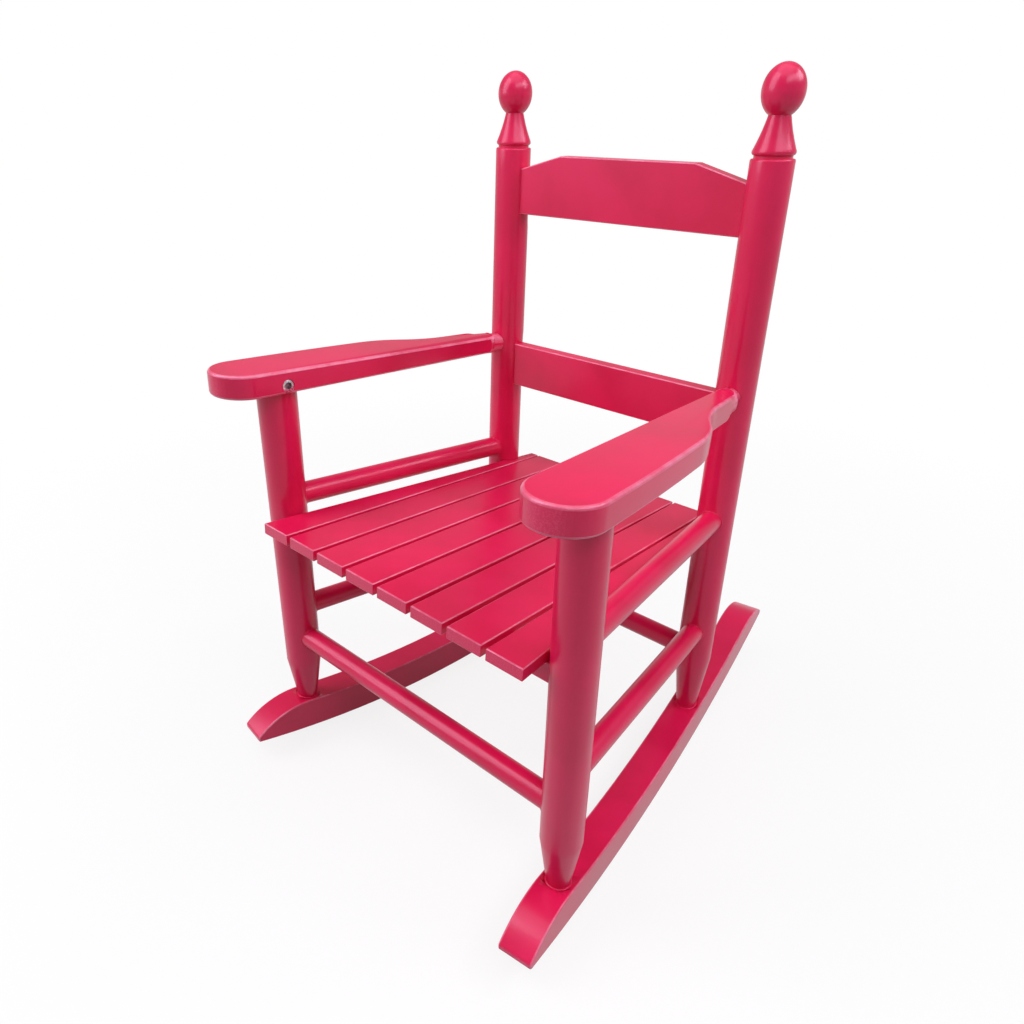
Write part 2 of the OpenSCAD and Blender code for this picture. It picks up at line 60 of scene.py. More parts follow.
# The least rub, with its painted highlight, that is painted, and how squarely a face crosses the grain where it
# begins to be end grain.
LEAST_RUB_AND_HIGHLIGHT = 0.12
CROSS_FROM = 0.80
CROSS_RANGE = 0.16
Socket = bpy.types.NodeSocket
Colour = tuple[float, float, float, float]
Span = tuple[float, float]


class Side(Enum):
    """The two side frames, by the sign of x."""

    LEFT = -1
    RIGHT = 1

    @property
    def word(self) -> str:
        """Ending of this side's node names."""
        return self.name.lower()


class Slot(Enum):
    """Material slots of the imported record."""

    PAINT = "painted_wood"
    STEEL = "zinc_steel"


class Form(Enum):
    """How a wooden piece is shaped, which tells where its paint is thin and where a painted highlight goes on
    its roundings.
    """

    TURNED = "turned"
    BOARD = "board"


# Finishes: node graphs, paint, zinc plate and paper.


@dataclass(frozen=True)
class Pattern:
    """A noise pattern: waves per metre, octaves of finer waves and their strength.

    A stretch scales the place where it is read, and under 1 it draws the waves out.
    """

    waves: float
    octaves: float = 2.0
    finer: float = 0.5
    stretch: tuple[float, float, float] | None = None


class Graph:
    """The node graph of a material or of the world, built one node at a time."""

    def __init__(self, name: str, world: bpy.types.World | None = None) -> None:
        """Makes an empty graph with an output node.

        Args:
            name: Name of the material that is made for it.
            world: The world that it belongs to instead, if any.
        """
        self.owner = world or bpy.data.materials.new(name)
        self.owner.use_nodes = True
        self.tree = self.owner.node_tree
        self.tree.nodes.clear()
        self.output = self.tree.nodes.new("ShaderNodeOutputWorld" if world else "ShaderNodeOutputMaterial")

    def add(self, kind: str, inputs: dict[str | int, object] | None = None,
            **settings: object) -> bpy.types.Node:
        """Adds a node.

        Args:
            kind: The node's type, without the ShaderNode prefix.
            inputs: Values or sockets for its inputs, by name or place.
            settings: Values for the node's own properties.

        Returns:
            The new node.
        """
        made = self.tree.nodes.new("ShaderNode" + kind)
        for key, value in settings.items():
            setattr(made, key, value)
        for key, value in (inputs or {}).items():
            if isinstance(value, Socket):
                self.tree.links.new(value, made.inputs[key])
            else:
                made.inputs[key].default_value = value
        return made

    def noise(self, spot: Socket, pattern: Pattern) -> Socket:
        """Adds a noise pattern.

        Args:
            spot: Where the pattern is read.
            pattern: The pattern.

        Returns:
            The pattern's value, from 0 to 1.
        """
        if pattern.stretch is not None:
            spot = self.add("Mapping", {"Vector": spot, "Scale": pattern.stretch}).outputs["Vector"]
        return self.add("TexNoise", {"Vector": spot, "Scale": pattern.waves, "Detail": pattern.octaves,
                                     "Roughness": pattern.finer}).outputs["Fac"]

    def remap(self, value: Socket, low: float, high: float, to_low: float = 0.0,
              to_high: float = 1.0) -> Socket:
        """Maps a value from one range to another, smoothly and clamped.

        Args:
            value: The value to map.
            low: Value that becomes to_low.
            high: Value that becomes to_high.
            to_low: Result at low.
            to_high: Result at high.

        Returns:
            The mapped value.
        """
        made = self.add("MapRange", {"Value": value, "From Min": low, "From Max": high, "To Min": to_low,
                                     "To Max": to_high}, interpolation_type="SMOOTHSTEP")
        return made.outputs["Result"]

    def multiply(self, first: Socket, second: Socket | float) -> Socket:
        """Multiplies two values."""
        return self.add("Math", {0: first, 1: second}, operation="MULTIPLY").outputs[0]

    def higher(self, first: Socket, second: Socket) -> Socket:
        """Takes the higher of two values."""
        return self.add("Math", {0: first, 1: second}, operation="MAXIMUM").outputs[0]

    def length(self, vector: Socket) -> Socket:
        """Measures a vector."""
        return self.add("VectorMath", {0: vector}, operation="LENGTH").outputs["Value"]

    def own_axes(self, along: Vector, origin: Vector) -> Socket:
        """Turns and centres Object coordinates on a piece, with z along its grain or axis.

        Args:
            along: Direction of the grain or axis.
            origin: The pattern's zero point.

        Returns:
            The place in the piece's own axes.
        """
        return self.add("Mapping", {"Vector": self.add("TexCoord").outputs["Object"], "Location": origin,
                                    "Rotation": along.to_track_quat("Z", "Y").to_euler()},
                        vector_type="TEXTURE").outputs["Vector"]

    def end(self, shader: bpy.types.Node) -> bpy.types.Material | bpy.types.World:
        """Joins the last shader to the output.

        Args:
            shader: The last shader node.

        Returns:
            The material or world that the graph belongs to.
        """
        self.tree.links.new(shader.outputs[0], self.output.inputs["Surface"])
        return self.owner

    def blend(self, factor: Socket, first: Socket | Colour, second: Socket | Colour) -> Socket:
        """Mixes two colours.

        Args:
            factor: Share of the second colour.
            first: Colour or socket at 0.
            second: Colour or socket at 1.

        Returns:
            The mixed colour.
        """
        made = self.add("Mix", {0: factor, 6: first, 7: second}, data_type="RGBA")
        return made.outputs[2]

    def bump(self, height: Socket, strength: float, distance: float, normal: Socket | None = None) -> Socket:
        """Adds a bump.

        Args:
            height: The height pattern.
            strength: How much it turns the surface.
            distance: Height of a full wave, in metres.
            normal: A bump that this one goes over.

        Returns:
            The turned normal.
        """
        inputs: dict[str | int, object] = {"Height": height, "Strength": strength, "Distance": distance}
        if normal is not None:
            inputs["Normal"] = normal
        return self.add("Bump", inputs).outputs["Normal"]


@dataclass(frozen=True)
class PaintFinish:
    """Semi-gloss crimson paint, brushed along the grain of each piece, with a painted highlight mixed into the
    wear on rounded edges.

    Colours are linear. Patterns lie in the piece's own axes with z along the grain. A range is the pattern's
    values between which a layer comes in, a share is how strong it gets, and a bump is strength and height.
    """

    body: Colour = (0.800, 0.0095, 0.090, 1.0)
    deep: Colour = (0.700, 0.0065, 0.068, 1.0)
    thin: Colour = (0.880, 0.100, 0.225, 1.0)
    # Pale pink of the roundings: rubbed paint and a painted highlight together.
    worn_and_highlight: Colour = (0.900, 0.260, 0.380, 1.0)
    end: Colour = (0.820, 0.045, 0.135, 1.0)
    gloss_low: float = 0.28
    gloss_high: float = 0.33
    specular: float = 0.42
    sheen: Colour = (1.0, 0.78, 1.0, 1.0)
    coat: float = 0.28
    coat_rough: float = 0.18
    streak: Pattern = Pattern(260.0, 5.0, 0.62, (1.0, 1.0, 0.045))
    brush: Pattern = Pattern(1150.0, 3.0, 0.6, (1.0, 1.0, 0.018))
    cloud: Pattern = Pattern(17.0, 3.0)
    peel: Pattern = Pattern(1300.0)
    speck: Pattern = Pattern(620.0, 6.0, 0.78)
    scuff: Pattern = Pattern(46.0, 4.0, 0.7)
    pore: Pattern = Pattern(900.0, 4.0, 0.7)
    cloud_range: Span = (0.32, 0.70)
    streak_range: Span = (0.66, 0.34)
    streak_share: Span = (0.0, 0.045)
    brush_range: Span = (0.60, 0.82)
    brush_share: Span = (0.0, 0.05)
    speck_range: Span = (0.60, 0.74)
    dust_range: Span = (0.56, 0.76)
    dust_share: Span = (0.02, 0.26)
    rub_and_highlight_range: Span = (0.35, 0.66)
    rub_and_highlight_share: Span = (0.42, 0.95)
    pore_range: Span = (0.42, 0.68)
    pore_share: Span = (0.25, 1.0)
    gloss_range: Span = (0.35, 0.65)
    streak_bump: Span = (0.012, 0.00025)
    brush_bump: Span = (0.05, 0.00007)
    peel_bump: Span = (0.16, 0.00007)

    def make(self, name: str, along: Vector, origin: Vector) -> bpy.types.Material:
        """Makes the paint for one piece.

        Args:
            name: The piece's name.
            along: Direction of its grain.
            origin: A point on the piece, where its pattern starts.

        Returns:
            The material.
        """
        g = Graph("crimson_paint_" + name)
        spot = g.own_axes(along, origin)
        streak, brush = g.noise(spot, self.streak), g.noise(spot, self.brush)
        cloud, peel = g.noise(spot, self.cloud), g.noise(spot, self.peel)
        speck, scuff = g.noise(spot, self.speck), g.noise(spot, self.scuff)
        colour = g.blend(g.remap(cloud, *self.cloud_range), self.deep, self.body)
        colour = g.blend(g.remap(streak, *self.streak_range, *self.streak_share), colour, self.deep)
        colour = g.blend(g.remap(brush, *self.brush_range, *self.brush_share), colour, self.thin)
        dust = g.multiply(g.remap(speck, *self.speck_range), g.remap(scuff, *self.dust_range, *self.dust_share))
        colour = g.blend(dust, colour, self.thin)
        # Rounded edges are painted pale: thin rubbed paint and, with it, a painted highlight where light
        # catches the rounding.
        arris = g.add("Attribute", attribute_name="arris").outputs["Fac"]
        rub_and_highlight = g.multiply(arris, g.remap(scuff, *self.rub_and_highlight_range, *self.rub_and_highlight_share))
        colour = g.blend(rub_and_highlight, colour, self.worn_and_highlight)
        ends = g.add("Attribute", attribute_name="end_grain").outputs["Fac"]
        pores = g.remap(g.noise(spot, self.pore), *self.pore_range, *self.pore_share)
        colour = g.blend(g.multiply(ends, pores), colour, self.end)
        rough = g.remap(cloud, *self.gloss_range, self.gloss_low, self.gloss_high)
        normal = g.bump(streak, *self.streak_bump)
        normal = g.bump(brush, *self.brush_bump, normal)
        normal = g.bump(peel, *self.peel_bump, normal)
        return g.end(g.add("BsdfPrincipled", {
            "Base Color": colour, "Roughness": rough, "Normal": normal, "Specular IOR Level": self.specular,
            "Specular Tint": self.sheen, "Coat Weight": self.coat, "Coat Roughness": self.coat_rough}))


@dataclass(frozen=True)
class ZincFinish:
    """Bright zinc plating on turned steel, with fine tool rings and dull patches, and painted shade inside a
    socket.
    """

    bright: Colour = (0.80, 0.80, 0.82, 1.0)
    dull: Colour = (0.46, 0.46, 0.48, 1.0)
    socket_shade: Colour = (0.24, 0.16, 0.18, 1.0)
    rings: Pattern = Pattern(2600.0, 3.0, stretch=(0.15, 0.15, 1.0))
    ring_bump: Span = (0.25, 0.00005)
    patch: Pattern = Pattern(380.0, 4.0, 0.6)
    patch_range: Span = (0.38, 0.62)
    gloss_range: Span = (0.35, 0.65)
    gloss: Span = (0.42, 0.24)
    well_floor: float = 0.9

    def make(self, name: str, along: Vector, origin: Vector, well: float) -> bpy.types.Material:
        """Makes the plating for one piece.

        Args:
            name: The piece's name.
            along: Axis of its turning.
            origin: A point on that axis.
            well: Radius of a socket, whose inside is painted dark as shade, or 0 for none.

        Returns:
            The material.
        """
        g = Graph("zinc_plate_" + name)
        spot = g.own_axes(along, origin)
        rings, patch = g.noise(spot, self.rings), g.noise(spot, self.patch)
        colour = g.blend(g.remap(patch, *self.patch_range), self.dull, self.bright)
        if well:
            flat = g.add("VectorMath", {0: spot, 1: (1.0, 1.0, 0.0)}, operation="MULTIPLY").outputs["Vector"]
            # Painted shade: the inside of the socket is darkened in the colour itself.
            colour = g.blend(g.remap(g.length(flat), well, self.well_floor * well), colour, self.socket_shade)
        rough = g.remap(patch, *self.gloss_range, *self.gloss)
        return g.end(g.add("BsdfPrincipled", {"Base Color": colour, "Roughness": rough, "Metallic": 1.0,
                                              "Normal": g.bump(rings, *self.ring_bump)}))


@dataclass(frozen=True)
class PaperFinish:
    """White studio paper of the floor, which keeps the chair's shadow and is open from below.

    Its own glow rises to the white of the surround between the two distances of fade, in metres. In gloss it
    shows with the mirrored share.
    """

    paper: Colour = (0.93, 0.93, 0.93, 1.0)
    fibre: Colour = (0.91, 0.91, 0.91, 1.0)
    bounce: Colour = (0.34, 0.34, 0.34, 1.0)
    tooth: Pattern = Pattern(160.0, 3.0)
    tooth_range: Span = (0.3, 0.7)
    glow: float = 0.84
    mirrored: float = 0.55
    fade: Span = (0.42, 1.1)

    def make(self) -> bpy.types.Material:
        """Makes the paper.

        Returns:
            The material.
        """
        g = Graph("studio_paper")
        spot = g.add("TexCoord").outputs["Object"]
        tooth = g.noise(spot, self.tooth)
        rays = g.add("LightPath").outputs
        seen = g.higher(rays["Is Camera Ray"], g.multiply(rays["Is Glossy Ray"], self.mirrored))
        seen = g.higher(seen, rays["Is Transmission Ray"])
        colour = g.blend(g.remap(tooth, *self.tooth_range), self.fibre, self.paper)
        matte = g.add("BsdfDiffuse", {"Color": g.blend(seen, self.bounce, colour)})
        white = g.add("Emission", {"Color": WHITE, "Strength": 1.0})
        share = g.multiply(seen, g.remap(g.length(spot), *self.fade, self.glow, 1.0))
        mixed = g.add("MixShader", {0: share, 1: matte.outputs[0], 2: white.outputs[0]})
        below = g.add("NewGeometry").outputs["Backfacing"]
        clear = g.add("BsdfTransparent")
        return g.end(g.add("MixShader", {0: below, 1: mixed.outputs[0], 2: clear.outputs[0]}))


PAINT = PaintFinish()
ZINC = ZincFinish()
PAPER = PaperFinish()


# Pieces: how a CAD node becomes a finished piece.


def clear_selection() -> None:
    """Leaves edit mode, if it is on, and selects nothing."""
    if bpy.context.mode != "OBJECT":
        bpy.ops.object.mode_set(mode="OBJECT")
    bpy.ops.object.select_all(action="DESELECT")


def pick(piece: bpy.types.Object) -> None:
    """Selects one piece only, and makes it the active one.

    Args:
        piece: The piece.
    """
    clear_selection()
    piece.select_set(True)
    bpy.context.view_layer.objects.active = piece


def merged_copy(node: str, name: str) -> bpy.types.Object:
    """Copies a CAD node's solid into a piece of its own, with its triangles joined into whole faces.

    Args:
        node: The node's name.
        name: The new piece's name.

    Returns:
        The piece.
    """
    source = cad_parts[node]
    piece = bpy.data.objects.new(name, source.data.copy())
    bpy.context.scene.collection.objects.link(piece)
    piece.data.materials.clear()
    pick(piece)
    bpy.ops.object.mode_set(mode="EDIT")
    bpy.ops.mesh.select_all(action="SELECT")
    bpy.ops.mesh.remove_doubles(threshold=WELD)
    bpy.ops.mesh.dissolve_limited(angle_limit=math.radians(FLAT_ANGLE), delimit={"SHARP"})
    bpy.ops.object.mode_set(mode="OBJECT")
    return piece


def ease_edges(piece: bpy.types.Object, width: float, segments: int, angle: float, shortest: float,
               clear: tuple[tuple[Vector, float], ...]) -> None:
    """Rounds a piece's sharp outer edges.

    Args:
        piece: The piece.
        width: Width of the rounding.
        segments: Steps of the rounding.
        angle: Least angle between the two faces of an edge that is rounded, in radians.
        shortest: Length under which an edge is left alone.
        clear: Centres and radii of places that are left alone, such as the rims of holes.
    """
    pick(piece)
    bpy.ops.object.mode_set(mode="EDIT")
    bpy.ops.mesh.select_mode(type="EDGE")
    bpy.ops.mesh.select_all(action="DESELECT")
    work = bmesh.from_edit_mesh(piece.data)
    for edge in work.edges:
        if len(edge.link_faces) != 2 or not edge.is_convex or edge.calc_length() < shortest:
            continue
        middle = (edge.verts[0].co + edge.verts[1].co) / 2
        if edge.calc_face_angle(0.0) > angle and all((middle - c).length > r for c, r in clear):
            edge.select_set(True)
    bmesh.update_edit_mesh(piece.data)
    bpy.ops.mesh.bevel(offset=width, segments=segments, profile=0.5, clamp_overlap=True)
    bpy.ops.object.mode_set(mode="OBJECT")


def smooth(piece: bpy.types.Object, angle: float) -> None:
    """Shades a piece smoothly, apart from its edges above an angle in degrees."""
    pick(piece)
    bpy.ops.object.shade_smooth_by_angle(angle=math.radians(angle))


def weigh_normals(piece: bpy.types.Object, angle: float) -> None:
    """Keeps a board's broad faces flat in their shading, so that only the roundings turn.

    Args:
        piece: The board.
        angle: Angle up to which neighbouring faces are shaded as one, in degrees.
    """
    smooth(piece, angle)
    bpy.ops.object.modifier_add(type="WEIGHTED_NORMAL")
    weighed = piece.modifiers[-1]
    weighed.mode = "FACE_AREA"
    weighed.weight = 50
    weighed.keep_sharp = True
    bpy.ops.object.modifier_apply(modifier=weighed.name)


@dataclass(frozen=True)
class TurnedTest:
    """Limits by which turn_normals tells a turned face from a mortise; angles stand as dot products."""

    on_axis: float = 0.3 * MM
    least_flat: float = 0.12
    facing: float = 0.70
    same_slope: float = 0.42


TURNED_TEST = TurnedTest()


def turn_normals(piece: bpy.types.Object, along: Vector, origin: Vector, angle: float) -> None:
    """Gives a turned piece the true normals of its turning, also next to its mortises.

    Args:
        piece: The turned piece.
        along: Direction of its axis.
        origin: A point on its axis.
        angle: Angle up to which neighbouring faces are shaded as one, in degrees.
    """
    smooth(piece, angle)
    data = piece.data
    normals = [Vector(corner.vector) for corner in data.corner_normals]
    rise: dict[int, list[float]] = {}
    outer: list[bool] = []
    spokes: dict[int, Vector] = {}
    for vertex in data.vertices:
        arm = vertex.co - origin
        arm -= along * arm.dot(along)
        if arm.length > TURNED_TEST.on_axis:
            spokes[vertex.index] = arm.normalized()
    for face in data.polygons:
        slope = face.normal.dot(along)
        flat = math.sqrt(max(0.0, 1.0 - slope * slope))
        turned = flat > TURNED_TEST.least_flat and all(
            face.normal.dot(spokes[v]) > TURNED_TEST.facing * flat for v in face.vertices if v in spokes)
        outer.append(turned)
        if turned:
            for v in face.vertices:
                rise.setdefault(v, []).append(slope)
    for face, turned in zip(data.polygons, outer):
        if not turned:
            continue
        slope = face.normal.dot(along)
        for corner in face.loop_indices:
            v = data.loops[corner].vertex_index
            if v not in spokes:
                continue
            near = [other for other in rise[v] if abs(other - slope) < TURNED_TEST.same_slope]
            tilt = sum(near) / len(near)
            out = spokes[v] * math.sqrt(max(0.0, 1.0 - tilt * tilt))
            normals[corner] = (out + along * tilt).normalized()
    data.normals_split_custom_set([tuple(n) for n in normals])


def mark_wear_and_highlight(piece: bpy.types.Object, form: Form, plate: Vector, along: Vector) -> None:
    """Writes where the paint is rubbed thin, which also places a painted highlight, and where the grain ends,
    for the paint to read.

    Args:
        piece: The piece.
        form: How it is shaped.
        plate: Normal of a board's broad face.
        along: Direction of the grain.
    """
    data = piece.data
    arris = data.attributes.new("arris", "FLOAT", "CORNER")
    grain = data.attributes.new("end_grain", "FLOAT", "CORNER")
    for face in data.polygons:
        # The rub, which also stands for a painted highlight, is 0 on a board's broad faces and on its edges,
        # and 1 half way round the rounding between, where that highlight falls.
        lean = min(1.0, abs(face.normal.dot(plate)))
        rub_and_highlight = 2.0 * lean * math.sqrt(1.0 - lean * lean) if form is Form.BOARD else 0.0
        cross = min(1.0, max(0.0, (abs(face.normal.dot(along)) - CROSS_FROM) / CROSS_RANGE))
        for corner in face.loop_indices:
            arris.data[corner].value = rub_and_highlight if rub_and_highlight > LEAST_RUB_AND_HIGHLIGHT else 0.0
            grain.data[corner].value = cross


def dress(piece: bpy.types.Object, material: bpy.types.Material, slot: Slot, *nodes: str) -> bpy.types.Object:
    """Gives a piece its finish and ties it to the frame.

    Args:
        piece: The piece.
        material: Its finish.
        slot: The record's slot for that finish; not used.
        nodes: CAD nodes that it stands for.

    Returns:
        The piece.
    """
    piece.data.materials.append(material)
    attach(piece, BODY)
    if nodes:
        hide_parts(*nodes)
    clear_selection()
    LOG.info("%s: %d faces", piece.name, len(piece.data.polygons))
    return piece


def centre_of(node: str) -> Vector:
    """Middle of a node's box."""
    low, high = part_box(node)
    return (Vector(low) + Vector(high)) / 2


@dataclass
class WoodPiece:
    """One painted piece of wood, taken over from its CAD node and finished."""

    node: str
    form: Form
    along: Vector
    plate: Vector
    ease: float = 0.0
    steps: int = 3
    shortest: float = 3 * MM
    clear: tuple[tuple[Vector, float], ...] = ()
    axis: Vector | None = None
    shape: Callable[[bpy.types.Object], None] | None = None
    sharp: float = 30.0
    board_smooth: float = 40.0
    turned_smooth: float = 33.0

    def build(self) -> bpy.types.Object:
        """Copies, rounds, marks and paints the piece.

        Returns:
            The piece.
        """
        piece = merged_copy(self.node, self.node + "_painted")
        if self.ease:
            ease_edges(piece, self.ease, self.steps, math.radians(self.sharp), self.shortest, self.clear)
        if self.shape is not None:
            self.shape(piece)
        if self.axis is None:
            weigh_normals(piece, self.board_smooth)
        else:
            turn_normals(piece, self.along, self.axis, self.turned_smooth)
        mark_wear_and_highlight(piece, self.form, self.plate, self.along)
        paint = PAINT.make(self.node, self.along, centre_of(self.node))
        return dress(piece, paint, Slot.PAINT, self.node)


# The chair, one class for each sub-assembly.


@dataclass
class ChairFrame:
    """Lines of the chair's frame that several sub-assemblies share, in metres and degrees."""

    half_span: float = 130.7 * MM
    toe_in: float = 7.51
    lean_in: float = 0.86
    leg_foot_y: float = -182.2 * MM
    leg_rake: float = 0.91
    post_foot_y: float = 65.9 * MM
    post_rake: float = -0.23

    def place(self, side: Side, y: float, z: float) -> Vector:
        """A point of one side frame's plane.

        Args:
            side: The side.
            y: Its depth.
            z: Its height.

        Returns:
            The point.
        """
        toe, lean = math.tan(math.radians(self.toe_in)), math.tan(math.radians(self.lean_in))
        x = self.half_span - toe * y - lean * z
        return Vector((side.value * x, y, z))

    def leg(self, side: Side, z: float) -> Vector:
        """A point on a front leg's axis at height z."""
        return self.place(side, self.leg_foot_y + math.tan(math.radians(self.leg_rake)) * z, z)

    def post(self, side: Side, z: float) -> Vector:
        """A point on a rear post's axis at height z."""
        return self.place(side, self.post_foot_y + math.tan(math.radians(self.post_rake)) * z, z)


CHAIR = ChairFrame()


@dataclass
class SideFrame:
    """One side of the chair: rocker, leg, post, arm and the two dowels between leg and post."""

    side: Side
    rocker_ease: float = 1.5 * MM
    socket_clear: float = 14.5 * MM
    socket_z: tuple[float, float, float] = (30 * MM, 38 * MM, 46 * MM)
    upper_z: Span = (257 * MM, 241.3 * MM)
    lower_z: Span = (145.2 * MM, 127.9 * MM)
    arm_z: float = 371.3 * MM
    arm_pitch: float = 3.21
    neck_from: float = 198 * MM
    neck_to: float = 220 * MM
    neck_half: Span = (10.9 * MM, 9.35 * MM)
    neck_shift: float = 0.4 * MM
    neck_rings: int = 6
    ring_step: float = 3.3 * MM
    grid_step: float = 3.0 * MM
    blend_short: float = 5 * MM
    face_reach: float = 80 * MM
    tolerance: float = 0.01 * MM

    def across(self) -> Vector:
        """Direction out of the side frame's plane."""
        turn = math.radians(CHAIR.toe_in) * self.side.value
        return Vector((math.cos(turn), math.sin(turn), 0.0))

    def rearward(self) -> Vector:
        """Level direction towards the back in the side frame's plane."""
        turn = math.radians(CHAIR.toe_in) * self.side.value
        return Vector((-math.sin(turn), math.cos(turn), 0.0))

    def rocker(self) -> None:
        """Rounds and paints the rocker; the rims of its two foot holes stay as they are."""
        feet = tuple((axis(self.side, z), self.socket_clear) for axis in (CHAIR.leg, CHAIR.post)
                     for z in self.socket_z)
        WoodPiece(f"rocker_{self.side.word}", Form.BOARD, self.rearward(), self.across(), ease=self.rocker_ease,
                  steps=4, shortest=2 * MM, clear=feet).build()

    def uprights(self) -> None:
        """Paints the turned leg and post."""
        for name, axis in (("front_leg", CHAIR.leg), ("rear_post", CHAIR.post)):
            along = (axis(self.side, 1.0) - axis(self.side, 0.0)).normalized()
            WoodPiece(f"{name}_{self.side.word}", Form.TURNED, along, self.across(),
                      axis=axis(self.side, 0.0)).build()

    def arm(self) -> None:
        """Shapes and paints the arm, whose long edges are rounded in its solid already."""
        pitch = math.radians(self.arm_pitch)
        along = (self.rearward() * math.cos(pitch) - UP * math.sin(pitch)).normalized()
        plate = along.cross(self.across()).normalized()
        WoodPiece(f"arm_{self.side.word}", Form.BOARD, along, plate,
                  shape=partial(self.round_neck, along=along, plate=plate)).build()

    def round_neck(self, piece: bpy.types.Object, along: Vector, plate: Vector) -> None:
        """Turns the arm's rear end from a square section into a round shoulder in front of the post.

        Args:
            piece: The arm.
            along: Direction of the arm towards the post.
            plate: Normal of the arm's top or underside.
        """
        origin = CHAIR.leg(self.side, self.arm_z)
        across = self.across()
        inside = 1.0 if plate.z < 0.0 else -1.0
        middle = Vector((self.neck_shift * self.side.value, self.neck_half[1] * inside))
        pick(piece)
        bpy.ops.object.mode_set(mode="EDIT")
        bpy.ops.mesh.select_mode(type="FACE")
        cuts = [(along, self.neck_from + ring * self.ring_step) for ring in range(self.neck_rings)]
        cuts += [(across, middle.x + step * self.grid_step) for step in range(-3, 4)]
        cuts += [(plate, middle.y + step * self.grid_step) for step in range(-2, 3)]
        # Rings cut the arm's long faces too; the grid only cuts faces that lie behind the neck's start.
        for normal, distance in cuts:
            work = bmesh.from_edit_mesh(piece.data)
            for face in work.faces:
                if normal is along:
                    reach = (face.calc_center_median() - origin).dot(along)
                    least = self.neck_from - self.face_reach
                else:
                    reach = min((v.co - origin).dot(along) for v in face.verts)
                    least = self.neck_from - self.tolerance
                face.select_set(reach > least)
            bmesh.update_edit_mesh(piece.data)
            bpy.ops.mesh.bisect(plane_co=origin + normal * distance, plane_no=normal)
        work = bmesh.from_edit_mesh(piece.data)
        for vertex in work.verts:
            away = vertex.co - origin
            reach = (away.dot(along) - self.neck_from) / (self.neck_to - self.blend_short - self.neck_from)
            flat = Vector((away.dot(across), away.dot(plate))) - middle
            size = math.hypot(flat.x / self.neck_half[0], flat.y / self.neck_half[1])
            if reach <= 0.0 or size <= 1.0:
                continue
            share = min(1.0, reach) ** 2 * (3.0 - 2.0 * min(1.0, reach))
            pull = flat * (share * (1.0 / size - 1.0))
            vertex.co += across * pull.x + plate * pull.y
        bmesh.update_edit_mesh(piece.data)
        bpy.ops.object.mode_set(mode="OBJECT")

    def dowels(self) -> None:
        """Paints the upper side rail and the lower side stretcher."""
        for name, heights in (("upper_side_rail", self.upper_z), ("lower_side_stretcher", self.lower_z)):
            along = (CHAIR.post(self.side, heights[1]) - CHAIR.leg(self.side, heights[0])).normalized()
            WoodPiece(f"{name}_{self.side.word}", Form.TURNED, along, self.across(),
                      axis=CHAIR.leg(self.side, heights[0])).build()

    def build(self) -> None:
        """Builds the whole side."""
        self.rocker()
        self.uprights()
        self.arm()
        self.dowels()


@dataclass
class Seat:
    """Eight slats that narrow the seat towards the back, on two rails."""

    slats: int = 8
    pitch: float = 4.51
    edge: float = 0.28 * MM
    rail_edge: float = 1.0 * MM

    def fall(self) -> Vector:
        """Direction of the slats towards the back."""
        angle = math.radians(self.pitch)
        return Vector((0.0, math.cos(angle), -math.sin(angle)))

    def build(self) -> None:
        """Builds slats and rails."""
        top = RIGHTWARD.cross(self.fall()).normalized()
        for number in range(1, self.slats + 1):
            WoodPiece(f"seat_slat_{number}", Form.BOARD, self.fall(), top, ease=self.edge, steps=2,
                      shortest=2.5 * MM).build()
        for node in ("front_seat_rail", "rear_seat_rail"):
            WoodPiece(node, Form.BOARD, RIGHTWARD, top, ease=self.rail_edge, steps=3, shortest=20 * MM).build()


@dataclass
class BackRest:
    """The crest slat and the lower back slat between the posts."""

    def build(self) -> None:
        """Builds both slats, whose edges are rounded in their solids."""
        rake = math.radians(CHAIR.post_rake)
        face = Vector((0.0, -math.cos(rake), math.sin(rake)))
        for node in ("crest_slat", "lower_back_slat"):
            WoodPiece(node, Form.BOARD, RIGHTWARD, face).build()


@dataclass
class CrossStretchers:
    """The two dowels that hold the side frames apart."""

    def build(self) -> None:
        """Builds both stretchers."""
        for node in ("front_stretcher", "rear_stretcher"):
            WoodPiece(node, Form.TURNED, RIGHTWARD, UP, axis=centre_of(node)).build()


@dataclass(frozen=True)
class Joint:
    """A round end that goes into another piece: where, along which way, how thick and into what."""

    name: str
    place: Vector
    along: Vector
    radius: float
    into: str


